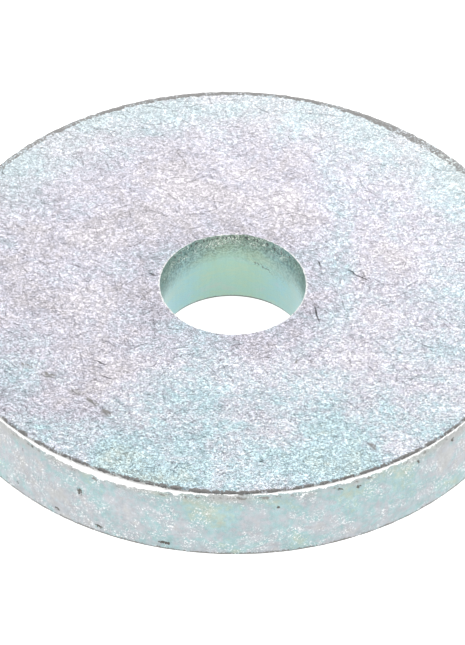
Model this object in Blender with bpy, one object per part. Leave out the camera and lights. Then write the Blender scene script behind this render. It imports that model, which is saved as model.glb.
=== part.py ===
"""Flat washer: a thick round disc of zinc-plated steel, punched from plate, with a bolt hole.

The washer lies flat, its axis along +Z and its bearing face on z = 0.  The upper face is
the die-roll side of the outer edge, and the breakout side of the bore.
"""
import math

import bmesh
import bpy
from mathutils import Vector

# Driving dimensions, in metres.
OUTER_DIAMETER = 0.04445      # 1 3/4 in
THICKNESS = 0.00635           # 1/4 in plate
BORE_DIAMETER = 0.0108        # the burnished wall, the narrowest part of the bolt hole

OUTER_ROLL_WIDTH = 0.00045    # the upper outer edge is drawn down as the blank is sheared
OUTER_ROLL_DEPTH = 0.00035
OUTER_FRACTURE_HEIGHT = 0.0022  # the torn lower part of the outer wall, from the bearing face
OUTER_FRACTURE_TAPER = 0.00008  # how far the torn part draws in, at the bearing face
OUTER_BASE_RADIUS = 0.00013     # the lower outer edge, dulled by tumbling

BORE_ROLL_WIDTH = 0.00035     # the lower mouth of the bore, where the punch came in
BORE_ROLL_DEPTH = 0.0004
BORE_BREAKOUT_DEPTH = 0.0016  # the torn upper part of the bore's wall, from the upper face
BORE_BREAKOUT_FLARE = 0.00006  # how far the torn part opens out, at the upper face

TURN_STEPS = 96               # facets round the axis
ROLL_STEPS = 6                # facets across each rolled edge
BASE_STEPS = 3                # facets across the dulled lower edge
SHARP_ANGLE = math.radians(35.0)

# Clear zinc plate over steel.
PLATED_STEEL_COLOUR = (0.62, 0.67, 0.70, 1.0)
PLATED_STEEL_ROUGHNESS = 0.34
PLATED_STEEL_METALLIC = 1.0


def remove_all_objects():
    """Empty the scene."""
    for item in list(bpy.data.objects):
        bpy.data.objects.remove(item, do_unlink=True)


def plated_steel():
    """Return the washer's material."""
    material = bpy.data.materials.new("zinc_plated_steel")
    material.use_nodes = True
    shader = material.node_tree.nodes["Principled BSDF"]
    shader.inputs["Base Color"].default_value = PLATED_STEEL_COLOUR
    shader.inputs["Roughness"].default_value = PLATED_STEEL_ROUGHNESS
    shader.inputs["Metallic"].default_value = PLATED_STEEL_METALLIC
    material.diffuse_color = PLATED_STEEL_COLOUR
    return material


def corner_arc(centre_r, centre_z, width, depth, first_turn, last_turn, steps):
    """Return the (radius, height) points of an elliptical corner, both ends included.

    Turns are in quarter circles: 0 points outward along the radius, and 1 points up.
    """
    points = []
    for step in range(steps + 1):
        turn = first_turn + (last_turn - first_turn) * step / steps
        angle = turn * math.pi / 2.0
        points.append((centre_r + width * math.cos(angle), centre_z + depth * math.sin(angle)))
    return points


def washer_profile():
    """Return the washer's half section, from its upper outer edge down and round to its bore."""
    outer = OUTER_DIAMETER / 2.0
    bore = BORE_DIAMETER / 2.0
    base = outer - OUTER_FRACTURE_TAPER

    upper_roll = corner_arc(outer - OUTER_ROLL_WIDTH, THICKNESS - OUTER_ROLL_DEPTH,
                            OUTER_ROLL_WIDTH, OUTER_ROLL_DEPTH, 1.0, 0.0, ROLL_STEPS)
    fracture_start = [(outer, OUTER_FRACTURE_HEIGHT)]
    lower_edge = corner_arc(base - OUTER_BASE_RADIUS, OUTER_BASE_RADIUS,
                            OUTER_BASE_RADIUS, OUTER_BASE_RADIUS, 0.0, -1.0, BASE_STEPS)
    bore_mouth = corner_arc(bore + BORE_ROLL_WIDTH, BORE_ROLL_DEPTH,
                            BORE_ROLL_WIDTH, BORE_ROLL_DEPTH, -1.0, -2.0, ROLL_STEPS)
    breakout = [(bore, THICKNESS - BORE_BREAKOUT_DEPTH),
                (bore + BORE_BREAKOUT_FLARE, THICKNESS)]
    return upper_roll + fracture_start + lower_edge + bore_mouth + breakout


def turned_solid(name, profile, material):
    """Spin a closed half section round the Z axis and return the solid as an object."""
    bm = bmesh.new()
    verts = [bm.verts.new((radius, 0.0, height)) for radius, height in profile]
    edges = [bm.edges.new((vert, verts[index - 1])) for index, vert in enumerate(verts)]
    bmesh.ops.spin(bm, geom=verts + edges, cent=Vector(), axis=Vector((0.0, 0.0, 1.0)),
                   angle=2.0 * math.pi, steps=TURN_STEPS, use_merge=True)
    bmesh.ops.recalc_face_normals(bm, faces=bm.faces)

    mesh = bpy.data.meshes.new(name)
    bm.to_mesh(mesh)
    bm.free()
    mesh.shade_smooth()
    mesh.set_sharp_from_angle(angle=SHARP_ANGLE)
    mesh.materials.append(material)

    solid = bpy.data.objects.new(name, mesh)
    bpy.context.scene.collection.objects.link(solid)
    return solid


def main():
    """Build the washer."""
    remove_all_objects()
    turned_solid("washer_disc", washer_profile(), plated_steel())


main()
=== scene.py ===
"""Looks of a thick zinc-plated flat washer, laid out as a Blender add-on.

The washer is a blank punched from steel plate: its upper outer edge is rolled over by the
die, its walls are burnished where they were sheared and grainy where they tore, and it was
then barrel-tumbled and plated with clear zinc.  One operator makes the washer around its CAD
solid, and one makes the stage it lies on.
"""

import math
import random
from types import SimpleNamespace

import bpy
import numpy as np
from bpy.props import FloatProperty, FloatVectorProperty, IntProperty, PointerProperty
from mathutils import Matrix, Vector, noise


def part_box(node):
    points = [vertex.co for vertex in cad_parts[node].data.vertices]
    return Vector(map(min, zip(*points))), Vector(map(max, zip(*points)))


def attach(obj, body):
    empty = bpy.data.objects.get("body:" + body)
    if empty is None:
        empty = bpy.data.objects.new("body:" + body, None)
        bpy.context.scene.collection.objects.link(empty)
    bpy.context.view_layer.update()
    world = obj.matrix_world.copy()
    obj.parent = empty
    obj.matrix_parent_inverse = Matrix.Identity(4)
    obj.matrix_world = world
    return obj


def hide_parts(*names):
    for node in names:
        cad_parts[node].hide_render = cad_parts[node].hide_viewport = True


bl_info = {
    "name": "Plated Flat Washer",
    "version": (1, 0, 0),
    "blender": (4, 5, 0),
    "location": "View3D > Sidebar > Washer",
    "description": "Makes a punched and zinc-plated flat washer and the stage it lies on",
    "category": "Add Mesh",
}

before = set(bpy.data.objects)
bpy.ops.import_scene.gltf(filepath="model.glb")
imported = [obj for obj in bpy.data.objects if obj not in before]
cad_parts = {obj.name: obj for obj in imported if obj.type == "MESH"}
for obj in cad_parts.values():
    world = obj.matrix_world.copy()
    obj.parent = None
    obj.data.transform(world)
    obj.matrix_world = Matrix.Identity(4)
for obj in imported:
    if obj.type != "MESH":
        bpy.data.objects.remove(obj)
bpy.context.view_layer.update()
NODE = "washer_disc"
MM = 0.001                      # metres in a millimetre: shapes below are in millimetres

DISC_LOW, DISC_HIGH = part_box(NODE)
OUTER_RADIUS = (DISC_HIGH.x - DISC_LOW.x) / 2.0 / MM
THICKNESS = (DISC_HIGH.z - DISC_LOW.z) / MM
BORE_RADIUS = min(vert.co.xy.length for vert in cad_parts[NODE].data.vertices) / MM


# ---- Sizes and colours that a user would change ----

class WasherShape(bpy.types.PropertyGroup):
    """Sizes of the washer's sheared and rolled edges."""

    roll_width: FloatProperty(
        name="Roll width", default=0.44 * MM, min=0.05 * MM, max=1.5 * MM, unit="LENGTH",
        description="How far the rolled upper outer edge reaches in from the outer wall")
    roll_depth: FloatProperty(
        name="Roll depth", default=0.36 * MM, min=0.05 * MM, max=1.5 * MM, unit="LENGTH",
        description="How far the rolled upper outer edge reaches down the outer wall")
    torn_height: FloatProperty(
        name="Torn height", default=1.9 * MM, min=0.1 * MM, max=5.0 * MM, unit="LENGTH",
        description="Height of the torn lower part of the outer wall")
    torn_taper: FloatProperty(
        name="Torn taper", default=0.08 * MM, min=0.0, max=0.5 * MM, unit="LENGTH",
        description="How far the torn part of the outer wall draws in at the bottom")
    # The rounded lower outer edge is darkened with painted shade.
    base_radius: FloatProperty(
        name="Base radius", default=0.13 * MM, min=0.02 * MM, max=0.5 * MM, unit="LENGTH",
        description="Radius of the dulled lower outer edge")
    mouth_width: FloatProperty(
        name="Mouth width", default=0.35 * MM, min=0.05 * MM, max=1.0 * MM, unit="LENGTH",
        description="Width of the rolled lower mouth of the bore")
    mouth_depth: FloatProperty(
        name="Mouth depth", default=0.40 * MM, min=0.05 * MM, max=1.0 * MM, unit="LENGTH",
        description="Height of the rolled lower mouth of the bore")
    breakout_depth: FloatProperty(
        name="Breakout depth", default=1.5 * MM, min=0.1 * MM, max=4.0 * MM, unit="LENGTH",
        description="Depth of the torn upper part of the bore's wall")
    breakout_flare: FloatProperty(
        name="Breakout flare", default=0.12 * MM, min=0.0, max=0.5 * MM, unit="LENGTH",
        description="How far the torn part of the bore opens out at the upper face")
    segments: IntProperty(
        name="Segments", default=680, min=64, max=700,
        description="Steps round the axis")


class WasherFinish(bpy.types.PropertyGroup):
    """Colours and grain of the zinc plate."""

    face_colour: FloatVectorProperty(
        name="Face colour", subtype="COLOR", size=4, default=(0.59, 0.60, 0.615, 1.0),
        min=0.0, max=1.0, description="Colour of the plate on the faces, before its tints")
    wall_colour: FloatVectorProperty(
        name="Wall colour", subtype="COLOR", size=4, default=(0.368, 0.398, 0.384, 1.0),
        min=0.0, max=1.0, description="Colour of the plate on the outer wall, before its tints")
    bore_colour: FloatVectorProperty(
        name="Bore colour", subtype="COLOR", size=4, default=(0.326, 0.432, 0.361, 1.0),
        min=0.0, max=1.0, description="Colour of the plate in the bore, before its tints")
    grain_size: FloatProperty(
        name="Grain size", default=0.132 * MM, min=0.05 * MM, max=2.0 * MM, unit="LENGTH",
        description="Width of the face's worm-like grain")
    grain_depth: FloatProperty(
        name="Grain depth", default=0.012 * MM, min=0.0, max=0.1 * MM, unit="LENGTH",
        description="Height of the face's grain")


class WasherStudio(bpy.types.PropertyGroup):
    """The stage, its lights and its camera."""

    camera_distance: FloatProperty(
        name="Camera distance", default=0.4885, min=0.05, unit="LENGTH",
        description="Distance from the camera to the centre of the washer's lower face")
    camera_elevation: FloatProperty(
        name="Camera elevation", default=math.radians(42.79), subtype="ANGLE",
        description="Height of the camera above the floor, as seen from the washer")
    camera_tilt: FloatProperty(
        name="Camera tilt", default=math.radians(0.214), subtype="ANGLE",
        description="How far the camera aims above the centre of the lower face")
    camera_roll: FloatProperty(
        name="Camera roll", default=math.radians(0.62), subtype="ANGLE",
        description="Turn of the camera about its own view axis")
    focal_length: FloatProperty(
        name="Focal length", default=364.7, min=10.0, unit="CAMERA",
        description="Focal length for a 36 mm sensor along the picture's long side, in mm")
    softbox_strength: FloatProperty(
        name="Softbox strength", default=1.25, min=0.0,
        description="Brightness of the large softbox above and behind the washer")
    room_strength: FloatProperty(
        name="Room strength", default=0.22, min=0.0,
        description="Brightness of the room that the softbox doesn't fill")
    floor_colour: FloatVectorProperty(
        name="Floor colour", subtype="COLOR", size=4, default=(0.80, 0.80, 0.80, 1.0),
        min=0.0, max=1.0, description="Colour of the floor")
    floor_glow: FloatProperty(
        name="Floor glow", default=1.05, min=0.0,
        description="Light that comes up through the translucent table top")


# ---- The washer's shape ----

# Rings of faces across each stretch of the half section.
FACE_RINGS = 72
ROLL_RINGS = 11
STEEP_RING = 8                  # from this ring of the roll on, the steel is sheared wall
WALL_RINGS = 21
BASE_RINGS = 3
UNDER_RINGS = 12
MOUTH_RINGS = 5
BORE_RINGS = 10
BREAKOUT_RINGS = 6

SHARP_ANGLE = math.radians(55.0)

FACE, OUTER_WALL, BORE_WALL = range(3)    # material indices

# Where the sheared edges swell: degrees round from the front, half width in degrees, and mm.
ROLL_WIDTH_HUMPS = ((180.0, 75.0, 0.20), (140.0, 14.0, 0.40))
ROLL_DEPTH_HUMPS = ((-24.0, 12.0, 0.34), (150.0, 25.0, 0.12), (1.0, 8.0, -0.08),
                    (45.0, 14.0, -0.06))
TORN_HEIGHT_HUMPS = ((-18.0, 13.0, 2.2), (13.0, 6.0, 1.3), (120.0, 20.0, 1.4),
                     (-130.0, 14.0, 1.0))
BREAKOUT_HUMPS = ((140.0, 22.0, 1.3), (-120.0, 25.0, 0.9))
# Where the near side of the rolled edge is darkened with painted shade: the same, with a share of 0
# to 1 in place of mm.
DULL_ROLL_HUMPS = ((0.0, 90.0, 0.14), (0.0, 8.0, 0.24), (-24.0, 14.0, 0.06), (34.0, 16.0, 0.14))

# How steep the rolled edge is, in degrees, where each finish starts and is full: the painted shade,
# the polish with its painted highlight, and the steep part.
DULL_TILT = (8.0, 24.0)
POLISHED_TILT = (25.0, 55.0)
STEEP_TILT = (48.0, 60.0)

RIM_SAG = 0.02                  # how far the upper face sinks towards its rim, in mm
RIM_SAG_WIDTH = 1.6             # width of the sinking rim, in mm
TORN_BUMP = 0.022               # height of the lumps on torn steel, in mm
TORN_LUMP = 0.45                # size of those lumps, in mm
TORN_GRIT = 0.2                 # size of the grit on them, in mm
PIT_DEPTH = 0.10                # depth of the outer wall's pits, in mm
MARK_FREE_EDGE = 0.8            # the scattered marks keep this far from the face's edges, in mm

# Handling marks pressed into the upper face:
# x, y, direction in degrees, length, width and depth in mm.
FACE_MARKS = (
    (-9.2, -14.1, -35, 1.0, 0.50, 0.060),
    (-8.4, -14.9, -48, 1.3, 0.22, 0.030),
    (-10.2, -13.0, -36, 1.2, 0.42, 0.050),
    (-11.4, -11.8, -42, 1.2, 0.38, 0.050),
    (-12.5, -10.9, -35, 1.3, 0.30, 0.030),
    (-13.4, -10.2, -18, 1.4, 0.48, 0.045),
    (-15.0, -9.2, -25, 1.5, 0.40, 0.030),
    (-9.6, -8.7, -30, 1.0, 0.32, 0.045),
    (-9.1, -10.2, -15, 0.9, 0.34, 0.055),
    (-9.8, -11.8, 55, 0.8, 0.24, 0.030),
    (-8.0, -11.7, 30, 2.2, 0.32, 0.025),
    (-13.8, -15.5, -75, 3.4, 0.28, 0.040),
    (-6.8, -14.6, -41, 2.8, 0.24, 0.035),
    (-15.6, -6.7, -33, 2.8, 0.24, 0.035),
    (-16.2, -1.1, -14, 2.6, 0.24, 0.030),
    (-7.2, -1.6, 35, 1.6, 0.24, 0.030),
    (-6.0, 1.0, -20, 0.7, 0.30, 0.060),
    (-5.2, -7.8, -14, 1.7, 0.26, 0.030),
    (-0.1, -12.4, -57, 2.6, 0.24, 0.040),
    (0.2, -10.7, -45, 1.4, 0.30, 0.030),
    (-3.7, -16.6, -52, 1.6, 0.24, 0.030),
    (-4.2, -12.2, -5, 1.2, 0.20, 0.030),
    (1.9, -8.8, 14, 1.1, 0.24, 0.035),
    (4.9, -8.5, 60, 0.6, 0.45, 0.035),
    (4.3, -12.4, 10, 0.9, 0.22, 0.035),
    (3.6, -6.1, -50, 1.0, 0.35, 0.035),
    (6.7, -15.4, -45, 2.0, 0.24, 0.035),
    (6.9, -18.0, -55, 1.2, 0.22, 0.040),
    (10.1, -17.2, -60, 1.2, 0.36, 0.050),
    (13.2, -16.0, -40, 1.1, 0.22, 0.030),
    (13.2, -9.2, -13, 2.6, 0.24, 0.030),
    (8.5, -11.6, 10, 0.4, 0.30, 0.045),
    (2.2, -18.9, 20, 0.4, 0.32, 0.045),
    (5.7, -20.5, 15, 0.7, 0.28, 0.040),
    (9.3, 1.1, -35, 2.6, 0.32, 0.070),
    (6.2, -3.1, -78, 2.5, 0.34, 0.080),
    (6.4, 2.4, -62, 0.9, 0.30, 0.060),
    (14.0, 0.3, -20, 1.2, 0.24, 0.030),
    (-3.1, 7.2, -70, 1.0, 0.30, 0.040),
    (-4.6, 12.3, -30, 0.9, 0.30, 0.035),
)

# Pits in the outer wall: degrees round from the front, height, width and tallness in mm.
WALL_PITS = (
    (-29.4, 3.50, 0.34, 0.80),
    (-40.3, 5.55, 0.55, 0.25),
    (-42.7, 4.70, 0.25, 0.40),
    (-47.4, 0.60, 0.30, 0.30),
    (-44.7, 1.00, 0.25, 0.30),
    (-34.6, 0.75, 0.50, 0.32),
    (-25.5, 0.66, 0.60, 0.28),
    (-20.4, 0.50, 0.30, 0.25),
    (-12.4, 0.66, 1.00, 0.28),
    (8.8, 4.60, 0.25, 0.40),
    (20.6, 5.35, 0.50, 0.32),
    (24.6, 5.20, 0.50, 0.28),
    (27.7, 5.50, 0.28, 0.25),
    (37.6, 5.25, 0.40, 0.36),
    (46.3, 5.30, 0.34, 0.45),
)

DEEP_MARK = 0.045               # marks this deep, in mm, have a thin dark line scored along them
BROAD_MARK = 0.35               # marks wider than this, in mm, have painted shade along one side
FULL_MARK = 0.04                # marks this deep, in mm, show at full strength
RANDOM_FACE_MARKS = 50          # further small marks, scattered over each face
RANDOM_WALL_PITS = 20           # further small pits, scattered round the outer wall


def wander(turn, waves, seed):
    """Return a smooth periodic wobble of about -1 to 1, with `waves` humps in a turn."""
    rng = random.Random(seed)
    total = np.zeros_like(turn)
    for step in range(6):
        harmonic = max(1, round(waves * (0.5 + 0.2 * step)))
        total += rng.uniform(0.5, 1.0) * np.cos(harmonic * turn + rng.uniform(0.0, math.tau))
    return total / 2.4


def swell(turn, centre, half_width):
    """Return a hump of height 1 round one direction, both in degrees from the front."""
    away = np.degrees(turn) + 90.0 - centre
    away = (away + 180.0) % 360.0 - 180.0
    return np.exp(-(away / half_width) ** 2)


def humps(turn, table):
    """Return the sum of several humps, each given as its centre, half width and height."""
    return sum(height * swell(turn, centre, half_width) for centre, half_width, height in table)


def smooth_step(values, low, high):
    """Return 0 below low, 1 above high and a smooth rise between them."""
    share = np.clip((values - low) / (high - low), 0.0, 1.0)
    return share * share * (3.0 - 2.0 * share)


def grain_noise(points, size, seed):
    """Return one noise value of about -1 to 1 for each point."""
    shift = Vector((seed * 17.3, seed * 5.1, seed * 9.7))
    return np.array([noise.noise(Vector(point) / size + shift) for point in points])


class HalfSection:
    """The washer's closed half section, drawn afresh at every direction round the axis."""

    def __init__(self, shape):
        self.turn = np.arange(shape.segments) / shape.segments * math.tau
        self.rings = []
        self.zones = []

    def ring(self, radius, height, zone, torn=0.0, rolled=0.0, dulled=0.0):
        """Add one ring of vertices; zone is the material of the faces that follow it."""
        blank = np.zeros_like(self.turn)
        self.rings.append([value + blank for value in (radius, height, torn, rolled, dulled)])
        self.zones.append(zone)


def half_section(shape):
    """Return the rings of the washer, from the bore's upper edge outward and all round."""
    section = HalfSection(shape)
    turn = section.turn
    lengths = [name for name in shape.__annotations__ if name != "segments"]
    size = SimpleNamespace(**{name: getattr(shape, name) / MM for name in lengths})

    roll_width = size.roll_width * (1.0 + 0.12 * wander(turn, 6, 1) + 0.16 * wander(turn, 120, 2))
    roll_width += humps(turn, ROLL_WIDTH_HUMPS)
    roll_depth = size.roll_depth * (1.0 + 0.15 * wander(turn, 5, 3) + 0.18 * wander(turn, 130, 4))
    roll_depth += humps(turn, ROLL_DEPTH_HUMPS)
    torn_height = size.torn_height + 0.35 * wander(turn, 7, 5) + 0.18 * wander(turn, 55, 6)
    torn_height += humps(turn, TORN_HEIGHT_HUMPS)
    breakout = size.breakout_depth + 0.16 * wander(turn, 9, 7) + 0.12 * wander(turn, 40, 8)
    breakout += humps(turn, BREAKOUT_HUMPS)
    flare = size.breakout_flare * (1.0 + 0.35 * wander(turn, 8, 9) + 0.25 * wander(turn, 50, 10))
    flare *= 0.15 + 0.85 * np.sin(turn) ** 2

    # The upper face, from the bore to the start of the rolled edge.
    bore_edge = BORE_RADIUS + flare
    face_edge = OUTER_RADIUS - roll_width
    sag_start = OUTER_RADIUS - RIM_SAG_WIDTH
    for step in range(FACE_RINGS):
        radius = bore_edge + (face_edge - bore_edge) * step / FACE_RINGS
        sag = RIM_SAG * smooth_step(radius, sag_start, OUTER_RADIUS)
        section.ring(radius, THICKNESS - sag, FACE, torn=float(step == 0))

    # The rolled edge: painted shade where it starts to fall, all round the back and where its
    # highlight breaks at the front; polish with a painted highlight where it is steep.
    near_side = 0.46 + humps(turn, DULL_ROLL_HUMPS) + 0.28 * wander(turn, 110, 11)
    far_side = swell(turn, 180.0, 100.0) * (0.74 + 0.12 * wander(turn, 40, 12))
    broken = 1.0 - swell(turn, 1.5, 7.0) * (0.5 + 0.6 * wander(turn, 90, 17))
    broken = np.clip(broken, 0.0, 1.0)
    sag = RIM_SAG * smooth_step(face_edge, sag_start, OUTER_RADIUS)
    for step in range(ROLL_RINGS):
        angle = math.pi / 2.0 * (1.0 - step / ROLL_RINGS)
        radius = face_edge + roll_width * math.cos(angle)
        height = THICKNESS - sag - (roll_depth - sag) * (1.0 - math.sin(angle))
        tilt = np.degrees(np.arctan2(roll_depth * math.cos(angle), roll_width * math.sin(angle)))
        steep = smooth_step(tilt, *STEEP_TILT)
        dulled = smooth_step(tilt, *DULL_TILT) * (1.0 - steep)
        dulled = dulled * near_side + (1.0 - broken) * 0.6 * steep
        dulled = np.maximum(dulled, far_side)
        section.ring(radius, height, FACE if step < STEEP_RING else OUTER_WALL,
                     rolled=broken * smooth_step(tilt, *POLISHED_TILT), dulled=dulled)

    # The outer wall, which is torn and draws in below the wavy end of its burnished part.
    # At its top: broken dashes of polish with a painted highlight, and below them a ragged line of
    # painted shade.
    frayed = np.clip(0.42 + 0.4 * wander(turn, 110, 16), 0.0, 0.8) * broken
    smudge = np.clip(0.22 + 0.38 * swell(turn, 3.0, 7.0) + 0.5 * wander(turn, 110, 13), 0.0, 0.9)
    wall_top = THICKNESS - roll_depth
    for step in range(WALL_RINGS):
        height = wall_top + (size.base_radius - wall_top) * step / WALL_RINGS
        below = torn_height - height
        draw_in = size.torn_taper * np.clip(below / torn_height, 0.0, 1.0) ** 1.5
        section.ring(OUTER_RADIUS - draw_in, height, OUTER_WALL,
                     torn=smooth_step(below, -0.25, 0.35),
                     rolled=frayed * (step == 0), dulled=smudge * (step == 1))

    # The lower edge, darkened with painted shade, and the lower face.
    base_edge = OUTER_RADIUS - size.torn_taper
    for step in range(BASE_RINGS):
        angle = -math.pi / 2.0 * step / BASE_RINGS
        radius = base_edge - size.base_radius * (1.0 - math.cos(angle))
        height = size.base_radius * (1.0 + math.sin(angle))
        section.ring(radius, height, OUTER_WALL, torn=1.0, dulled=0.75 + 0.2 * wander(turn, 60, 14))
    under_edge = base_edge - size.base_radius
    mouth_edge = BORE_RADIUS + size.mouth_width
    for step in range(UNDER_RINGS):
        radius = under_edge + (mouth_edge - under_edge) * step / UNDER_RINGS
        section.ring(radius, 0.0, FACE)

    # The bore: its rolled mouth, darkened with painted shade, its burnished wall with one dark
    # streak, and the torn part that opens out above, with painted shade along its upper edge,
    # mostly at the back.
    for step in range(MOUTH_RINGS):
        angle = math.pi / 2.0 * step / MOUTH_RINGS
        radius = mouth_edge - size.mouth_width * math.sin(angle)
        height = size.mouth_depth * (1.0 - math.cos(angle))
        section.ring(radius, height, BORE_WALL, dulled=0.9 * (step > 1))
    torn_start = THICKNESS - breakout
    faint = 0.5 - 0.36 * swell(turn, 148.0, 24.0)
    streak = 0.6 * swell(turn, 156.0, 10.0)
    # Painted shade along the bore's upper edge, mostly at the back.
    lip = np.clip(0.42 * np.sin(turn) + 0.42 * wander(turn, 90, 15), 0.0, 0.9)
    for step in range(BORE_RINGS):
        height = size.mouth_depth + (torn_start - size.mouth_depth) * step / BORE_RINGS
        torn = faint * smooth_step(height, torn_start - 1.1, torn_start + 0.2)
        section.ring(BORE_RADIUS, height, BORE_WALL, torn=torn,
                     dulled=streak * (step == BORE_RINGS - 1))
    for step in range(BREAKOUT_RINGS):
        share = step / BREAKOUT_RINGS
        section.ring(BORE_RADIUS + flare * share ** 1.6, torn_start + breakout * share,
                     BORE_WALL, torn=faint + (1.1 - faint) * share ** 1.3,
                     dulled=lip * (step == BREAKOUT_RINGS - 1))
    return section


def scattered_marks(seed, count):
    """Return small handling marks spread evenly over a face."""
    rng = random.Random(seed)
    marks = []
    for _ in range(count):
        radius = math.sqrt(rng.uniform((BORE_RADIUS + MARK_FREE_EDGE) ** 2,
                                       (OUTER_RADIUS - MARK_FREE_EDGE) ** 2))
        turn = rng.uniform(0.0, math.tau)
        marks.append((radius * math.cos(turn), radius * math.sin(turn),
                      rng.uniform(-75.0, 20.0), rng.uniform(0.3, 1.5),
                      rng.uniform(0.18, 0.30), rng.uniform(0.012, 0.035)))
    return marks


def scattered_pits(seed, count):
    """Return small pits spread round the outer wall, most of them near its two edges."""
    rng = random.Random(seed)
    pits = []
    for _ in range(count):
        height = rng.choice((rng.uniform(0.4, 1.1), rng.uniform(4.9, 5.6), rng.uniform(1.0, 5.0)))
        size = 0.15 + 0.5 * rng.random() ** 2
        pits.append((rng.uniform(60.0, 300.0), height, size * rng.uniform(0.8, 1.6), size))
    return pits


def press_marks(points, marks, side):
    """Press marks into the face on the given side, +1 up or -1 down.

    Return how pressed each point is, and how much it lies on a broad mark's steep side, where shade
    is painted.
    """
    pressed = np.zeros(len(points))
    steep = np.zeros(len(points))
    for x, y, direction, length, width, depth in marks:
        turn = math.radians(direction)
        along = (points[:, 0] - x) * math.cos(turn) + (points[:, 1] - y) * math.sin(turn)
        across = (points[:, 1] - y) * math.cos(turn) - (points[:, 0] - x) * math.sin(turn)
        across = across / width * 2.0
        ends = np.exp(-np.abs(along / length) ** 3 * 8.0)
        dent = ends * np.exp(-across ** 2)
        lip = ends * np.exp(-(across - 1.7) ** 2 * 2.0)
        wall = ends * np.exp(-(across - 0.9) ** 2 * 2.5)
        points[:, 2] += side * depth * (0.35 * lip - dent)
        strength = min(1.0, depth / FULL_MARK)
        broad = width > BROAD_MARK
        pressed = np.maximum(pressed, dent * strength * (1.0 if broad else 0.4))
        steep = np.maximum(steep, wall * strength * broad)
    return pressed, steep


def sink_pits(points, turn, pits):
    """Sink pits into the outer wall and return how deep each vertex lies in one."""
    pitted = np.zeros(len(points))
    for centre, height, width, tallness in pits:
        away = (np.degrees(turn) + 90.0 - centre + 180.0) % 360.0 - 180.0
        across = np.radians(away) * OUTER_RADIUS
        near = (across / width * 2.0) ** 2 + ((points[:, 2] - height) / tallness * 2.0) ** 2
        pitted = np.maximum(pitted, np.exp(-near ** 1.5))
    inward = PIT_DEPTH * pitted
    points[:, 0] -= inward * np.cos(turn)
    points[:, 1] -= inward * np.sin(turn)
    return pitted


def washer_mesh(shape):
    """Return the washer's mesh, with its torn, rolled and pressed places and its painted shade as
    attributes.
    """
    section = half_section(shape)
    rings = len(section.rings)
    steps = shape.segments
    turn = np.tile(section.turn, rings)
    radii, heights, torn, rolled, dulled = map(np.concatenate, zip(*section.rings))
    zones = np.repeat(section.zones, steps)
    points = np.stack([radii * np.cos(turn), radii * np.sin(turn), heights], axis=1)

    walls = (zones != FACE) | (torn > 0.0)
    coarse = np.zeros(len(points))
    coarse[walls] = grain_noise(points[walls], TORN_LUMP, 1)
    coarse[walls] += 0.6 * grain_noise(points[walls], TORN_GRIT, 2)
    bumps = TORN_BUMP * coarse * torn
    outward = np.where(zones == BORE_WALL, -1.0, 1.0)
    limit = np.where(zones == BORE_WALL, radii - BORE_RADIUS, OUTER_RADIUS - radii)
    bumps = np.minimum(bumps, limit)
    bumps = np.where(zones == FACE, np.maximum(bumps, BORE_RADIUS - radii), bumps)
    points[:, 0] += outward * bumps * np.cos(turn)
    points[:, 1] += outward * bumps * np.sin(turn)

    upper = (zones == FACE) & (heights > THICKNESS / 2.0)
    under = (zones == FACE) & (heights < THICKNESS / 2.0)
    outer = zones == OUTER_WALL
    marks = np.zeros(len(points))
    faces = points[upper]
    listed = FACE_MARKS + tuple(scattered_marks(11, RANDOM_FACE_MARKS))
    marks[upper], steep = press_marks(faces, listed, 1)
    # Painted shade along the steep sides of broad marks, on both faces.
    dulled[upper] = np.maximum(dulled[upper], steep)
    faces[:, 2] = np.minimum(faces[:, 2], THICKNESS)
    points[upper] = faces
    faces = points[under]
    marks[under], steep = press_marks(faces, scattered_marks(12, RANDOM_FACE_MARKS), -1)
    dulled[under] = np.maximum(dulled[under], steep)
    faces[:, 2] = np.maximum(faces[:, 2], 0.0)
    points[under] = faces
    sides = points[outer]
    listed = WALL_PITS + tuple(scattered_pits(13, RANDOM_WALL_PITS))
    marks[outer] = sink_pits(sides, turn[outer], listed)
    points[outer] = sides

    quads = []
    for ring in range(rings):
        here = ring * steps
        after = (ring + 1) % rings * steps
        for step in range(steps):
            beside = (step + 1) % steps
            quads.append((here + step, after + step, after + beside, here + beside))

    mesh = bpy.data.meshes.new("plated_washer")
    mesh.from_pydata((points * MM).tolist(), [], quads)
    mesh.polygons.foreach_set("material_index", zones.astype(np.int32))
    named = (("torn", torn), ("rolled", rolled), ("dulled", dulled), ("marked", marks))
    for name, values in named:
        attribute = mesh.attributes.new(name, "FLOAT", "POINT")
        attribute.data.foreach_set("value", values.astype(np.float32))
    mesh.shade_smooth()
    mesh.set_sharp_from_angle(angle=SHARP_ANGLE)
    mesh.update()
    return mesh


# ---- Shader building blocks ----

def add_node(tree, kind, inputs=None, **settings):
    """Add a shader node of one kind, set its properties, then link or set its inputs."""
    node = tree.nodes.new("ShaderNode" + kind)
    for name, value in settings.items():
        setattr(node, name, value)
    for socket, value in (inputs or {}).items():
        if isinstance(value, bpy.types.NodeSocket):
            tree.links.new(value, node.inputs[socket])
        else:
            node.inputs[socket].default_value = value
    return node


def maths(tree, operation, first, second=0.0, third=0.0, clamp=False):
    """Return the output of a Math node."""
    node = add_node(tree, "Math", {0: first, 1: second, 2: third},
                    operation=operation, use_clamp=clamp)
    return node.outputs[0]


def times(tree, first, second, clamp=False):
    """Return the product of two values."""
    return maths(tree, "MULTIPLY", first, second, clamp=clamp)


def remap(tree, value, low, high, to_low=0.0, to_high=1.0, smooth=True):
    """Return a value moved from one range to another, and kept inside it."""
    node = add_node(tree, "MapRange",
                    {"Value": value, "From Min": low, "From Max": high,
                     "To Min": to_low, "To Max": to_high},
                    interpolation_type="SMOOTHSTEP" if smooth else "LINEAR")
    return node.outputs["Result"]


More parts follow.
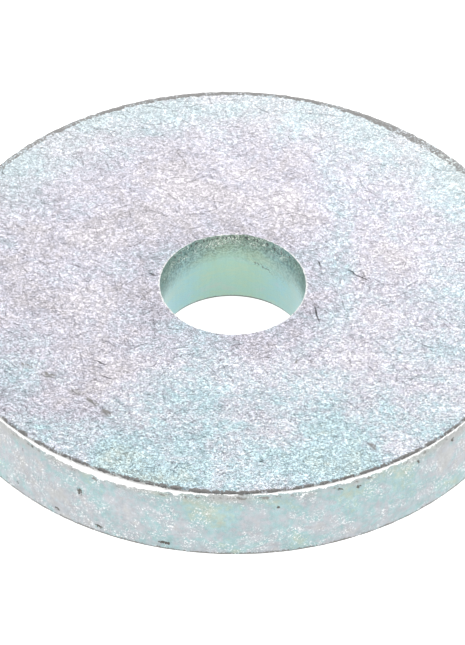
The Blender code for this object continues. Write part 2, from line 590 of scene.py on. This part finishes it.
def between(tree, share, low, high):
    """Return a value that goes straight from low to high as a share goes from 0 to 1."""
    return remap(tree, share, 0.0, 1.0, low, high, smooth=False)


def mix_colours(tree, factor, first, second, blend="MIX"):
    """Return the colour output of a Mix node."""
    node = add_node(tree, "Mix", {0: factor, 6: first, 7: second},
                    data_type="RGBA", blend_type=blend)
    return node.outputs[2]


def combined(tree, operation, values):
    """Return several values put together by one kind of Math node."""
    total = values[0]
    for value in values[1:]:
        total = maths(tree, operation, total, value)
    return total


def vector_maths(tree, operation, first, second=(0.0, 0.0, 0.0)):
    """Return the output of a Vector Math node: a number where it makes one, else a vector."""
    node = add_node(tree, "VectorMath", {0: first, 1: second}, operation=operation)
    number = operation in ("DISTANCE", "DOT_PRODUCT", "LENGTH")
    return node.outputs["Value" if number else "Vector"]


def scaled(tree, vector, factor):
    """Return a vector times a number or another socket's value."""
    node = add_node(tree, "VectorMath", {0: vector, "Scale": factor}, operation="SCALE")
    return node.outputs["Vector"]


def cells_of(tree, vector, size):
    """Return a vector divided by a socket's value, so that one unit is one cell of that size."""
    return scaled(tree, vector, maths(tree, "DIVIDE", 1.0, size))


def turned(tree, vector, turn, stretch, shift=(0.0, 0.0, 0.0)):
    """Return a vector shifted, turned about Z and stretched, so that spots turn into strokes."""
    node = add_node(tree, "Mapping",
                    {"Vector": vector, "Location": shift, "Rotation": (0.0, 0.0, turn),
                     "Scale": stretch}, vector_type="TEXTURE")
    return node.outputs["Vector"]


def parts_of(tree, vector):
    """Return a vector's three parts, by their names X, Y and Z."""
    return add_node(tree, "SeparateXYZ", {"Vector": vector}).outputs


def noise_value(tree, vector, scale=1.0, detail=0.0, roughness=0.5, distortion=0.0):
    """Return the value output of a Noise Texture."""
    node = add_node(tree, "TexNoise",
                    {"Vector": vector, "Scale": scale, "Detail": detail,
                     "Roughness": roughness, "Distortion": distortion})
    return node.outputs["Fac"]


def new_group(name, inputs, outputs):
    """Return a shader node group with named sockets, and its input and output nodes."""
    tree = bpy.data.node_groups.new(name, "ShaderNodeTree")
    for label, kind, default in inputs:
        socket = tree.interface.new_socket(label, in_out="INPUT", socket_type=kind)
        if default is not None:
            socket.default_value = default
    for label, kind in outputs:
        tree.interface.new_socket(label, in_out="OUTPUT", socket_type=kind)
    entry = tree.nodes.new("NodeGroupInput")
    result = tree.nodes.new("NodeGroupOutput")
    return tree, entry.outputs, result.inputs


def use_group(tree, group, inputs):
    """Place a node group in a material and return its outputs."""
    return add_node(tree, "Group", inputs, node_tree=group).outputs


VECTOR, FLOAT, COLOUR = "NodeSocketVector", "NodeSocketFloat", "NodeSocketColor"

# Tints of the passive film on the zinc, from the thinnest to the thickest.
FILM_COLOURS = (
    (0.0, (1.0, 1.03, 0.93)),
    (0.2, (0.88, 1.03, 0.98)),
    (0.4, (0.78, 1.02, 1.09)),
    (0.6, (0.93, 1.0, 1.08)),
    (0.8, (1.01, 0.97, 1.07)),
    (1.0, (1.05, 0.985, 1.025)),
)
GRAIN_TURNS = (-0.8, 0.0, 0.9)                 # directions of the grain's strokes, in radians
SCRATCH_TURNS = (-0.75, -0.15, 0.5, -1.35)     # directions of the scratches, in radians
FACE_NICKS = ((3.4, 0.10, 0.55), (1.5, 0.085, 0.4))    # spacing and width in mm, share of cells
CYAN_POOL = (0.0, -17.0, THICKNESS)            # where the upper face's film is thin, and its painted light a little brighter, in mm

# Colours of worn and torn places, of dark pits, and of painted highlights, glints and shade.
WHITE = (1.0, 1.0, 1.0, 1.0)
BRUISED_FACE = (0.42, 0.415, 0.42, 1.0)
# Polished steel with a painted highlight, on the rolled edge.
POLISHED_ROLL = (0.80, 0.80, 0.79, 1.0)
# A painted highlight round the bore's upper rim.
CHIPPED_RIM = (0.82, 0.83, 0.83, 1.0)
# Painted shade on the faces' rolled edge and beside broad marks.
DULL_ROLL = (0.28, 0.275, 0.27, 1.0)
RUBBED_WALL = (0.36, 0.36, 0.35, 1.0)
# Painted glints on the torn outer wall.
WALL_SPARKLE = (0.72, 0.73, 0.73, 1.0)
# Polished steel with a painted highlight, at the top of the outer wall.
POLISHED_WALL = (0.78, 0.79, 0.79, 1.0)
# Painted shade at the top and the lower edge of the outer wall.
DULL_WALL = (0.20, 0.20, 0.19, 1.0)
PIT_FLOOR = (0.10, 0.095, 0.085, 1.0)
BORE_SIDES = (0.318, 0.450, 0.452, 1.0)
TORN_BORE = (0.35, 0.37, 0.32, 1.0)
# Painted glints in the bore's torn part.
BORE_SPARKLE = (1.0, 1.0, 0.94, 1.0)
# Painted shade in the bore's mouth and along its upper edge, and one dark streak.
DULL_BORE = (0.14, 0.15, 0.145, 1.0)

DRAG_LINE_DEPTH = 0.001         # depth of the drag lines, in mm
WALL_TEAR_DEPTH = 0.012         # depth of the outer wall's torn grain, in mm
BORE_TEAR_DEPTH = 0.02          # depth of the bore's torn grain, in mm


def worm_grain_group():
    """Build the short curled strokes of pickled and plated plate: bumps with painted highlights on
    their ridges, each with a painted dark side.
    """
    tree, given, out = new_group(
        "worm_grain",
        [("Position", VECTOR, None), ("Size", FLOAT, 0.2)],
        [("Mask", FLOAT), ("Height", FLOAT)])
    cells = cells_of(tree, given["Position"], given["Size"])
    ridges = []
    hollows = []
    for index, turn in enumerate(GRAIN_TURNS):
        strokes = turned(tree, cells, turn, (2.6, 1.05, 1.0), (31.0 * index, 17.0 * index, 0.0))
        level = noise_value(tree, strokes, 1.0, 1.0, 0.4, 1.0)
        lit = maths(tree, "ABSOLUTE", maths(tree, "SUBTRACT", level, 0.60))
        ridges.append(remap(tree, lit, 0.07, 0.02))
        unlit = maths(tree, "ABSOLUTE", maths(tree, "SUBTRACT", level, 0.43))
        hollows.append(remap(tree, unlit, 0.04, 0.01))
    broken = remap(tree, noise_value(tree, cells, 0.5, 1.0, 0.5), 0.36, 0.54, 0.2, 1.0)
    ridge = times(tree, combined(tree, "MAXIMUM", ridges), broken)
    hollow = times(tree, combined(tree, "MAXIMUM", hollows), 0.5)
    relief = maths(tree, "SUBTRACT", ridge, hollow)
    relief = maths(tree, "MULTIPLY_ADD", relief, 0.66, 0.34)
    tree.links.new(maths(tree, "ADD", relief, 0.0, clamp=True), out["Mask"])
    tree.links.new(relief, out["Height"])
    return tree


def plating_tint_group():
    """Build the faint interference colours of a clear passivated zinc plate.

    The colour multiplies a material's own: cream, mint, cyan, pale blue, lavender and rose
    follow each other as the passive film gets thicker.
    """
    tree, given, out = new_group(
        "plating_tint",
        [("Position", VECTOR, None), ("Patch Size", FLOAT, 6.0), ("Thickness", FLOAT, 0.5),
         ("Variation", FLOAT, 1.0), ("Strength", FLOAT, 1.0)],
        [("Color", COLOUR)])
    patches = cells_of(tree, given["Position"], given["Patch Size"])
    broad = maths(tree, "SUBTRACT", noise_value(tree, patches, 1.0, 4.0, 0.62, 0.4), 0.5)
    flecks = maths(tree, "SUBTRACT", noise_value(tree, given["Position"], 2.6, 1.0, 0.5), 0.5)
    change = maths(tree, "MULTIPLY_ADD", flecks, 0.3, broad)
    film = maths(tree, "MULTIPLY_ADD", change, given["Variation"], given["Thickness"])
    ramp = add_node(tree, "ValToRGB", {"Fac": film})
    elements = ramp.color_ramp.elements
    for index, (place, colour) in enumerate(FILM_COLOURS):
        element = elements[index] if index < 2 else elements.new(place)
        element.position = place
        element.color = (*colour, 1.0)
    tinted = mix_colours(tree, given["Strength"], WHITE, ramp.outputs["Color"])
    tree.links.new(tinted, out["Color"])
    return tree


def torn_metal_group():
    """Build the coarse facets of steel that tore instead of shearing, with painted glints on them
    as bright flecks.
    """
    tree, given, out = new_group(
        "torn_metal",
        [("Position", VECTOR, None), ("Size", FLOAT, 0.2)],
        [("Sparkle", FLOAT), ("Shade", FLOAT), ("Height", FLOAT)])
    cells = cells_of(tree, given["Position"], given["Size"])
    bright = noise_value(tree, cells, 1.0, 2.0, 0.6, 0.8)
    coarse = noise_value(tree, cells, 0.55, 3.0, 0.7, 0.5)
    cluster = noise_value(tree, cells, 0.11, 2.0, 0.5)
    sparkle = times(tree, remap(tree, bright, 0.55, 0.63),
                    remap(tree, cluster, 0.40, 0.58, 0.1, 1.0))
    tree.links.new(sparkle, out["Sparkle"])
    tree.links.new(remap(tree, coarse, 0.3, 0.7), out["Shade"])
    tree.links.new(maths(tree, "MULTIPLY_ADD", bright, 0.6, coarse), out["Height"])
    return tree


def drag_lines_group():
    """Build the fine upright lines that a die or punch drags down a sheared wall."""
    tree, given, out = new_group(
        "drag_lines",
        [("Position", VECTOR, None), ("Spacing", FLOAT, 0.12)],
        [("Lines", FLOAT)])
    squashed = vector_maths(tree, "MULTIPLY", given["Position"], (1.0, 1.0, 0.05))
    lines = noise_value(tree, cells_of(tree, squashed, given["Spacing"]), 1.0, 2.0, 0.6)
    tree.links.new(remap(tree, lines, 0.25, 0.75), out["Lines"])
    return tree


def scratches_group():
    """Build the sparse hairline scratches that tumbling and handling leave."""
    tree, given, out = new_group(
        "scratches",
        [("Position", VECTOR, None), ("Spacing", FLOAT, 1.0)],
        [("Mask", FLOAT)])
    spaced = cells_of(tree, given["Position"], given["Spacing"])
    lines = []
    for index, turn in enumerate(SCRATCH_TURNS):
        strokes = turned(tree, spaced, turn, (1.4, 0.16, 1.0), (37.0 * index, 19.0 * index, 0.0))
        lines.append(remap(tree, noise_value(tree, strokes, 1.0, 0.0, 0.5, 0.25), 0.70, 0.78))
    tree.links.new(combined(tree, "MAXIMUM", lines), out["Mask"])
    return tree


def scored_lines_group():
    """Build the thin dark lines that other washers' edges scored across the upper face."""
    tree, given, out = new_group("scored_lines", [("Position", VECTOR, None)], [("Mask", FLOAT)])
    wobble = add_node(tree, "TexNoise",
                      {"Vector": given["Position"], "Scale": 1.1, "Detail": 2.0})
    wobble = vector_maths(tree, "SUBTRACT", wobble.outputs["Color"], (0.5, 0.5, 0.5))
    bent = vector_maths(tree, "ADD", scaled(tree, wobble, 0.5), given["Position"])
    distances = []
    for x, y, direction, length, _, depth in FACE_MARKS:
        if depth >= DEEP_MARK:
            line = turned(tree, bent, math.radians(direction),
                          (0.6 * length, 0.05 + 0.5 * depth, 1.0), (x, y, THICKNESS))
            distances.append(vector_maths(tree, "LENGTH", line))
    nearest = combined(tree, "MINIMUM", distances)
    tree.links.new(remap(tree, nearest, 1.0, 0.35), out["Mask"])
    return tree


def nicks_group():
    """Build short thin dark nicks, one in some of the cells of an uneven net."""
    tree, given, out = new_group(
        "nicks",
        [("Position", VECTOR, None), ("Spacing", FLOAT, 2.0), ("Width", FLOAT, 0.08),
         ("Share", FLOAT, 0.5)],
        [("Mask", FLOAT)])
    cells = cells_of(tree, given["Position"], given["Spacing"])
    wobble = add_node(tree, "TexNoise", {"Vector": cells, "Scale": 2.0, "Detail": 1.0})
    bent = vector_maths(tree, "ADD", scaled(tree, wobble.outputs["Color"], 0.3), cells)
    net = add_node(tree, "TexVoronoi", {"Vector": bent, "Scale": 1.0})
    chance = parts_of(tree, net.outputs["Color"])
    from_centre = vector_maths(tree, "SUBTRACT", bent, net.outputs["Position"])
    angle = maths(tree, "MULTIPLY_ADD", chance["X"], 1.9, -0.6)
    aligned = add_node(tree, "VectorRotate", {"Vector": from_centre, "Angle": angle},
                       rotation_type="Z_AXIS")
    place = parts_of(tree, aligned.outputs["Vector"])
    half_width = maths(tree, "DIVIDE", times(tree, given["Width"], 0.5), given["Spacing"])
    across = maths(tree, "DIVIDE", maths(tree, "ABSOLUTE", place["Y"]), half_width)
    reach = maths(tree, "MULTIPLY_ADD", chance["Z"], 0.25, 0.15)
    along = maths(tree, "DIVIDE", maths(tree, "ABSOLUTE", place["X"]), reach)
    kept = maths(tree, "LESS_THAN", chance["Y"], given["Share"])
    line = combined(tree, "MULTIPLY", [remap(tree, across, 1.3, 0.5), remap(tree, along, 1.0, 0.4),
                                       kept])
    tree.links.new(line, out["Mask"])
    return tree


class Finishes:
    """The node groups that the washer's materials share."""

    def __init__(self):
        self.worm_grain = worm_grain_group()
        self.plating_tint = plating_tint_group()
        self.torn_metal = torn_metal_group()
        self.drag_lines = drag_lines_group()
        self.scratches = scratches_group()
        self.scored_lines = scored_lines_group()
        self.nicks = nicks_group()


def new_metal(name, colour):
    """Return a metal material, its node tree, its shader and positions in millimetres."""
    material = bpy.data.materials.new(name)
    material.use_nodes = True
    material.diffuse_color = colour
    tree = material.node_tree
    shader = tree.nodes["Principled BSDF"]
    shader.inputs["Metallic"].default_value = 1.0
    place = add_node(tree, "TexCoord")
    position = scaled(tree, place.outputs["Object"], 1.0 / MM)
    return material, tree, shader, position


def wire(tree, shader, colour, roughness, normal):
    """Link a metal's colour, roughness and normal to its shader."""
    for name, value in (("Base Color", colour), ("Roughness", roughness), ("Normal", normal)):
        tree.links.new(value, shader.inputs[name])


def attribute(tree, name):
    """Return the value of one of the mesh's attributes."""
    node = add_node(tree, "Attribute", attribute_name=name)
    return node.outputs["Fac"]


def radius_of(tree, position):
    """Return the distance from the washer's axis, in millimetres."""
    flat = vector_maths(tree, "MULTIPLY", position, (1.0, 1.0, 0.0))
    return vector_maths(tree, "LENGTH", flat)


def bump_normal(tree, height, depth, normal=None):
    """Return a bumped normal for a height of 0 to 1 that stands for `depth` millimetres."""
    inputs = {"Height": height, "Strength": 1.0, "Distance": depth * MM}
    if normal is not None:
        inputs["Normal"] = normal
    return add_node(tree, "Bump", inputs).outputs["Normal"]


def shaded(tree, colour, shade):
    """Return a colour times a grey level."""
    grey = add_node(tree, "CombineColor", {0: shade, 1: shade, 2: shade})
    return mix_colours(tree, 1.0, colour, grey.outputs[0], "MULTIPLY")


def plate_colour(tree, colour, tint, shade):
    """Return a plate's own colour times its tint and a grey level."""
    return shaded(tree, mix_colours(tree, 1.0, colour, tint, "MULTIPLY"), shade)


def toned(tree, shade, mask, change):
    """Return a grey level changed by a share of itself where a mask is 1."""
    return times(tree, shade, maths(tree, "MULTIPLY_ADD", mask, change, 1.0))


def layered(tree, colour, layers):
    """Return a colour with others laid over it in turn, each through its own mask."""
    for mask, over in layers:
        colour = mix_colours(tree, mask, colour, over)
    return colour


def ragged(tree, position, value, size, low=0.35, high=0.65):
    """Return a mask with a ragged edge where a smooth value passes one half."""
    cells = scaled(tree, position, 1.0 / size)
    rough = maths(tree, "SUBTRACT", noise_value(tree, cells, 1.0, 2.0, 0.7), 0.5)
    inside = times(tree, value, maths(tree, "SUBTRACT", 1.0, value))
    shifted = maths(tree, "MULTIPLY_ADD", times(tree, rough, inside), 8.0, value)
    return remap(tree, shifted, low, high)


def face_tint(tree, groups, position, rim, back_rim, pool):
    """Return the faces' tint: rose and lavender inside, pale cyan at the front and back."""
    drift = vector_maths(tree, "DOT_PRODUCT", position, (-0.003, 0.006, 0.0))
    film = maths(tree, "MULTIPLY_ADD", rim, -0.10, maths(tree, "ADD", drift, 0.80))
    film = maths(tree, "MULTIPLY_ADD", pool, -0.18, film)
    film = maths(tree, "MULTIPLY_ADD", back_rim, -0.34, film)
    tint = use_group(tree, groups.plating_tint,
                     {"Position": position, "Patch Size": 6.0, "Variation": 1.35,
                      "Thickness": film,
                      "Strength": maths(tree, "MULTIPLY_ADD", back_rim, -0.55, 1.0)})
    return tint["Color"]


def face_shade(tree, position, radius, back_rim, pool):
    """Return the faces' grey level: cloudy tone, painted light towards the right, the back and the
    back rim, and painted shade round the bore.
    """
    # Painted light: lighter towards the right and the back.
    across = vector_maths(tree, "DOT_PRODUCT", position, (0.0052, 0.0018, 0.0))
    cloud = noise_value(tree, turned(tree, position, -0.5, (1.9, 1.0, 1.0)), 0.3, 3.0, 0.5)
    # Painted shade round the bore.
    near_bore = remap(tree, radius, BORE_RADIUS + 4.0, BORE_RADIUS + 0.4, 0.0, -0.16)
    cloudy = maths(tree, "MULTIPLY_ADD", cloud, 0.42, 0.87)
    shade = combined(tree, "ADD", [cloudy, across, near_bore])
    # Painted light on the back rim and, faintly, in the cyan pool.
    shade = maths(tree, "MULTIPLY_ADD", back_rim, 0.09, shade)
    return maths(tree, "MULTIPLY_ADD", pool, 0.015, shade)


def plated_face(finish, groups):
    """Return the finish of the two flat faces and the gentle part of the rolled edge."""
    own_colour = tuple(finish.face_colour)
    material, tree, shader, position = new_metal("plated_face", own_colour)
    rolled = attribute(tree, "rolled")
    marked = attribute(tree, "marked")
    radius = radius_of(tree, position)
    back = parts_of(tree, position)["Y"]
    rim = remap(tree, radius, 0.62 * OUTER_RADIUS, 0.98 * OUTER_RADIUS)
    back_rim = times(tree, rim, remap(tree, back, -2.0, 14.0))
    pool = remap(tree, vector_maths(tree, "DISTANCE", position, CYAN_POOL), 15.0, 3.0)

    fineness = remap(tree, back, -16.0, 12.0, 0.82, 1.0, smooth=False)
    grain = use_group(tree, groups.worm_grain,
                      {"Position": position,
                       "Size": times(tree, fineness, finish.grain_size / MM)})
    scored = use_group(tree, groups.scored_lines, {"Position": position})["Mask"]
    scratches = use_group(tree, groups.scratches, {"Position": position, "Spacing": 1.1})["Mask"]
    nicks = [use_group(tree, groups.nicks, {"Position": position, "Spacing": spacing,
                                            "Width": width, "Share": share})["Mask"]
             for spacing, width, share in FACE_NICKS]
    nicks = combined(tree, "MAXIMUM", nicks)

    smoothed = maths(tree, "MAXIMUM", rolled, marked, clamp=True)
    grainy = remap(tree, smoothed, 0.3, 0.9, 1.0, 0.2)
    # The grain's painted highlights and shade are stronger towards the front.
    contrast = remap(tree, back, -14.0, 13.0, 1.2, 0.82, smooth=False)
    strokes = combined(tree, "MULTIPLY", [maths(tree, "SUBTRACT", grain["Mask"], 0.42), grainy,
                                          contrast])
    shade = face_shade(tree, position, radius, back_rim, pool)
    shade = times(tree, shade, maths(tree, "ADD", strokes, 0.98))
    shade = maths(tree, "MULTIPLY_ADD", scratches, -0.22, shade)
    shade = toned(tree, shade, nicks, -0.35)
    shade = toned(tree, shade, scored, -0.8)
    tint = face_tint(tree, groups, position, rim, back_rim, pool)
    colour = plate_colour(tree, own_colour, tint, shade)
    # Laid over the plate: bruised marks, polish with a painted highlight, a painted highlight round
    # the bore and painted shade.
    pressed = times(tree, ragged(tree, position, marked, 0.2, 0.3, 0.7), 0.55)
    # A painted highlight round the bore's upper rim.
    chipped = remap(tree, radius, BORE_RADIUS + 0.30, BORE_RADIUS + 0.02, 0.0, 0.75)
    colour = layered(tree, colour, (
        (pressed, BRUISED_FACE),
        (ragged(tree, position, rolled, 0.2), POLISHED_ROLL),
        (ragged(tree, position, chipped, 0.15), CHIPPED_RIM),
        (ragged(tree, position, attribute(tree, "dulled"), 0.16), DULL_ROLL)))

    relief = times(tree, grain["Height"], grainy)
    relief = maths(tree, "MULTIPLY_ADD", scratches, -0.8, relief)
    relief = maths(tree, "MULTIPLY_ADD", nicks, -1.2, relief)
    relief = maths(tree, "MULTIPLY_ADD", scored, -2.0, relief)
    wire(tree, shader, colour, between(tree, grain["Mask"], 0.42, 0.28),
         bump_normal(tree, relief, finish.grain_depth / MM))
    return material


def sheared_wall(finish, groups):
    """Return the finish of the outer wall: burnished above, torn and speckled with painted glints
    below.
    """
    own_colour = tuple(finish.wall_colour)
    material, tree, shader, position = new_metal("sheared_wall", own_colour)
    torn = attribute(tree, "torn")
    place = parts_of(tree, position)
    height = place["Z"]
    upper = remap(tree, height, 3.8, 5.9)

    film = maths(tree, "MULTIPLY_ADD", upper, -0.14, remap(tree, height, 0.4, 2.0, 0.62, 0.52))
    film = maths(tree, "ADD", film, remap(tree, place["X"], -2.0, -14.0, 0.0, 0.12))
    tint = use_group(tree, groups.plating_tint,
                     {"Position": position, "Patch Size": 3.6, "Variation": 2.6,
                      "Strength": 1.0, "Thickness": film})
    lines = use_group(tree, groups.drag_lines, {"Position": position, "Spacing": 0.16})["Lines"]
    fracture = use_group(tree, groups.torn_metal, {"Position": position, "Size": 0.14})

    patchy = remap(tree, noise_value(tree, position, 0.4, 3.0, 0.6), 0.40, 0.56)
    coarse = maths(tree, "MAXIMUM", torn, times(tree, patchy, 0.9))
    mottle = noise_value(tree, position, 1.6, 3.0, 0.65)
    shade = times(tree, between(tree, lines, 0.98, 1.02),
                  remap(tree, mottle, 0.3, 0.7, 0.92, 1.08))
    hollows = times(tree, fracture["Shade"], coarse)
    shade = times(tree, shade, remap(tree, hollows, 0.0, 1.0, 1.0, 0.92))
    shade = toned(tree, shade, torn, 0.08)
    shade = toned(tree, shade, upper, -0.09)
    colour = plate_colour(tree, own_colour, tint["Color"], shade)
    worn = noise_value(tree, position, 0.3, 2.0, 0.5)
    rubbed = times(tree, remap(tree, height, 4.9, 5.7),
                   remap(tree, worn, 0.36, 0.58, 0.25, 0.85))
    # Over the plate: rubbed wear, painted glints, polish with a painted highlight, painted shade
    # and dark pits.
    colour = layered(tree, colour, (
        (rubbed, shaded(tree, RUBBED_WALL, shade)),
        (times(tree, fracture["Sparkle"], coarse), WALL_SPARKLE),
        (ragged(tree, position, attribute(tree, "rolled"), 0.2), POLISHED_WALL),
        (ragged(tree, position, attribute(tree, "dulled"), 0.16), DULL_WALL),
        (ragged(tree, position, attribute(tree, "marked"), 0.14), PIT_FLOOR)))

    upright = bump_normal(tree, lines, DRAG_LINE_DEPTH)
    relief = times(tree, fracture["Height"], coarse)
    wire(tree, shader, colour, between(tree, coarse, 0.26, 0.36),
         bump_normal(tree, relief, WALL_TEAR_DEPTH, upright))
    return material


def punched_bore(finish, groups):
    """Return the finish of the bore: burnished below, dark and grainy where it broke out."""
    own_colour = tuple(finish.bore_colour)
    material, tree, shader, position = new_metal("punched_bore", own_colour)
    torn = attribute(tree, "torn")
    sides = maths(tree, "ABSOLUTE", parts_of(tree, position)["X"])
    cool = remap(tree, sides, 1.2, 4.2)

    bands = vector_maths(tree, "MULTIPLY", position, (1.0, 1.0, 2.2))
    tint = use_group(tree, groups.plating_tint,
                     {"Position": bands, "Patch Size": 3.0, "Variation": 1.9,
                      "Strength": 0.6, "Thickness": 0.26})
    lines = use_group(tree, groups.drag_lines, {"Position": position, "Spacing": 0.14})["Lines"]
    fracture = use_group(tree, groups.torn_metal, {"Position": position, "Size": 0.085})

    depth = times(tree, remap(tree, torn, 0.0, 0.75, smooth=False),
                  remap(tree, torn, 0.7, 1.05, 1.0, 0.55))
    dark = times(tree, depth, remap(tree, fracture["Shade"], 0.0, 1.0, 0.66, -0.16))
    shade = between(tree, lines, 0.985, 1.015)
    shade = maths(tree, "SUBTRACT", shade, dark)
    plate = mix_colours(tree, cool, own_colour, BORE_SIDES)
    colour = plate_colour(tree, plate, tint["Color"], shade)
    plain = times(tree, torn, maths(tree, "MULTIPLY_ADD", cool, -0.35, 0.55))
    # Painted glints where the bore tore.
    flecks = times(tree, fracture["Sparkle"], remap(tree, torn, 0.5, 0.9, 0.0, 2.2),
                   clamp=True)
    # Over the plate: torn steel, painted glints, and painted shade with one dark streak.
    colour = layered(tree, colour, (
        (plain, shaded(tree, TORN_BORE, shade)),
        (flecks, BORE_SPARKLE),
        (ragged(tree, position, attribute(tree, "dulled"), 0.14), DULL_BORE)))

    upright = bump_normal(tree, lines, DRAG_LINE_DEPTH)
    relief = times(tree, fracture["Height"], torn)
    wire(tree, shader, colour, between(tree, torn, 0.25, 0.42),
         bump_normal(tree, relief, BORE_TEAR_DEPTH, upright))
    return material


# ---- The stage ----

FLOOR_HALF = 2.0                        # half the floor's side, in metres
FLOOR_GAP = 0.00002                     # gap between the floor and the washer, in metres
FLOOR_ROUGHNESS = 0.7
FLOOR_SPECULAR = 0.2
SOFTBOX_LEAN = math.radians(27.0)       # how far behind the washer the softbox stands
SOFTBOX_CORE = math.radians(30.0)       # half angle of its full light
SOFTBOX_EDGE = math.radians(56.0)       # half angle where its light ends
GLOW_STRENGTH = 1.2                     # brightness of the low glow round the room
GLOW_FULL = 0.18                        # sine of the height up to which the glow is full
GLOW_END = 0.54                         # sine of the height where it ends
SENSOR_WIDTH = 36.0
CLIP_START = 0.01


def studio_floor(studio):
    """Return a plain pale table top."""
    mesh = bpy.data.meshes.new("studio_floor")
    height = DISC_LOW.z - FLOOR_GAP
    corners = [(-FLOOR_HALF, -FLOOR_HALF, height), (FLOOR_HALF, -FLOOR_HALF, height),
               (FLOOR_HALF, FLOOR_HALF, height), (-FLOOR_HALF, FLOOR_HALF, height)]
    mesh.from_pydata(corners, [], [(0, 1, 2, 3)])
    material = bpy.data.materials.new("studio_floor")
    material.use_nodes = True
    shader = material.node_tree.nodes["Principled BSDF"]
    shader.inputs["Base Color"].default_value = studio.floor_colour
    shader.inputs["Roughness"].default_value = FLOOR_ROUGHNESS
    shader.inputs["Specular IOR Level"].default_value = FLOOR_SPECULAR
    shader.inputs["Emission Color"].default_value = WHITE
    shader.inputs["Emission Strength"].default_value = studio.floor_glow
    mesh.materials.append(material)
    floor = bpy.data.objects.new("studio_floor", mesh)
    bpy.context.scene.collection.objects.link(floor)
    return floor


def studio_world(studio):
    """Light the room: a large softbox above and behind, a glow low down, and dim between."""
    world = bpy.data.worlds.new("studio")
    world.use_nodes = True
    tree = world.node_tree
    background = tree.nodes["Background"]
    way = add_node(tree, "TexCoord").outputs["Generated"]
    parts = parts_of(tree, way)

    towards = Vector((0.0, math.sin(SOFTBOX_LEAN), math.cos(SOFTBOX_LEAN)))
    facing = vector_maths(tree, "DOT_PRODUCT", way, towards)
    softbox = remap(tree, facing, math.cos(SOFTBOX_EDGE), math.cos(SOFTBOX_CORE),
                    0.0, studio.softbox_strength)
    low = remap(tree, maths(tree, "ABSOLUTE", parts["Z"]), GLOW_FULL, GLOW_END, 1.0, 0.0)
    front = remap(tree, parts["Y"], 0.2, -0.9, 0.6, 1.0)
    glow = times(tree, low, front)
    light = maths(tree, "MULTIPLY_ADD", glow, GLOW_STRENGTH, softbox)
    light = maths(tree, "ADD", light, studio.room_strength)

    path = add_node(tree, "LightPath")
    seen = maths(tree, "MAXIMUM", light, path.outputs["Is Camera Ray"])
    tree.links.new(seen, background.inputs["Strength"])
    background.inputs["Color"].default_value = WHITE
    bpy.context.scene.world = world


def studio_camera(studio):
    """Place the camera in front of the washer and above it."""
    data = bpy.data.cameras.new("camera")
    data.lens = studio.focal_length
    data.sensor_width = SENSOR_WIDTH
    data.clip_start = CLIP_START
    camera = bpy.data.objects.new("camera", data)
    elevation = studio.camera_elevation
    aim = Matrix.Rotation(math.pi / 2.0 - elevation + studio.camera_tilt, 4, "X")
    roll = Matrix.Rotation(studio.camera_roll, 4, "Z")
    back = Vector((0.0, -math.cos(elevation), math.sin(elevation))) * studio.camera_distance
    camera.matrix_world = Matrix.Translation(back) @ aim @ roll
    bpy.context.scene.collection.objects.link(camera)
    bpy.context.scene.camera = camera


# ---- Operators, panel and registration ----

class WASHER_OT_add_disc(bpy.types.Operator):
    """Make the plated washer in place of its CAD solid"""

    bl_idname = "washer.add_disc"
    bl_label = "Plated Washer"
    bl_options = {"REGISTER", "UNDO"}

    def execute(self, context):
        shape = context.scene.washer_shape
        finish = context.scene.washer_finish
        groups = Finishes()
        mesh = washer_mesh(shape)
        for make in (plated_face, sheared_wall, punched_bore):
            mesh.materials.append(make(finish, groups))
        washer = bpy.data.objects.new("plated_washer", mesh)
        context.scene.collection.objects.link(washer)
        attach(washer, "root")
        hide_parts(NODE)
        return {"FINISHED"}


class WASHER_OT_add_stage(bpy.types.Operator):
    """Make the pale floor, the soft studio light and the camera"""

    bl_idname = "washer.add_stage"
    bl_label = "Stage"
    bl_options = {"REGISTER", "UNDO"}

    def execute(self, context):
        studio = context.scene.washer_studio
        studio_floor(studio)
        studio_world(studio)
        studio_camera(studio)
        context.scene.view_settings.view_transform = "Standard"
        return {"FINISHED"}


class VIEW3D_PT_washer(bpy.types.Panel):
    """Sizes and buttons of the flat washer"""

    bl_label = "Flat Washer"
    bl_space_type = "VIEW_3D"
    bl_region_type = "UI"
    bl_category = "Washer"

    def draw(self, context):
        layout = self.layout
        scene = context.scene
        for title, group, operator in (("Shape", scene.washer_shape, None),
                                       ("Finish", scene.washer_finish, "washer.add_disc"),
                                       ("Stage", scene.washer_studio, "washer.add_stage")):
            box = layout.box()
            box.label(text=title)
            for name in group.__annotations__:
                box.prop(group, name)
            if operator:
                box.operator(operator)


CLASSES = (WasherShape, WasherFinish, WasherStudio,
           WASHER_OT_add_disc, WASHER_OT_add_stage, VIEW3D_PT_washer)
SETTINGS = {"washer_shape": WasherShape, "washer_finish": WasherFinish,
            "washer_studio": WasherStudio}


def register():
    """Register the classes and give each scene its settings."""
    for cls in CLASSES:
        bpy.utils.register_class(cls)
    for name, group in SETTINGS.items():
        setattr(bpy.types.Scene, name, PointerProperty(type=group))


def unregister():
    """Remove the settings and the classes."""
    for name in SETTINGS:
        delattr(bpy.types.Scene, name)
    for cls in reversed(CLASSES):
        bpy.utils.unregister_class(cls)


def main():
    """Make the stage and the washer."""
    register()
    bpy.ops.washer.add_stage()
    bpy.ops.washer.add_disc()


if __name__ == "__main__":
    main()
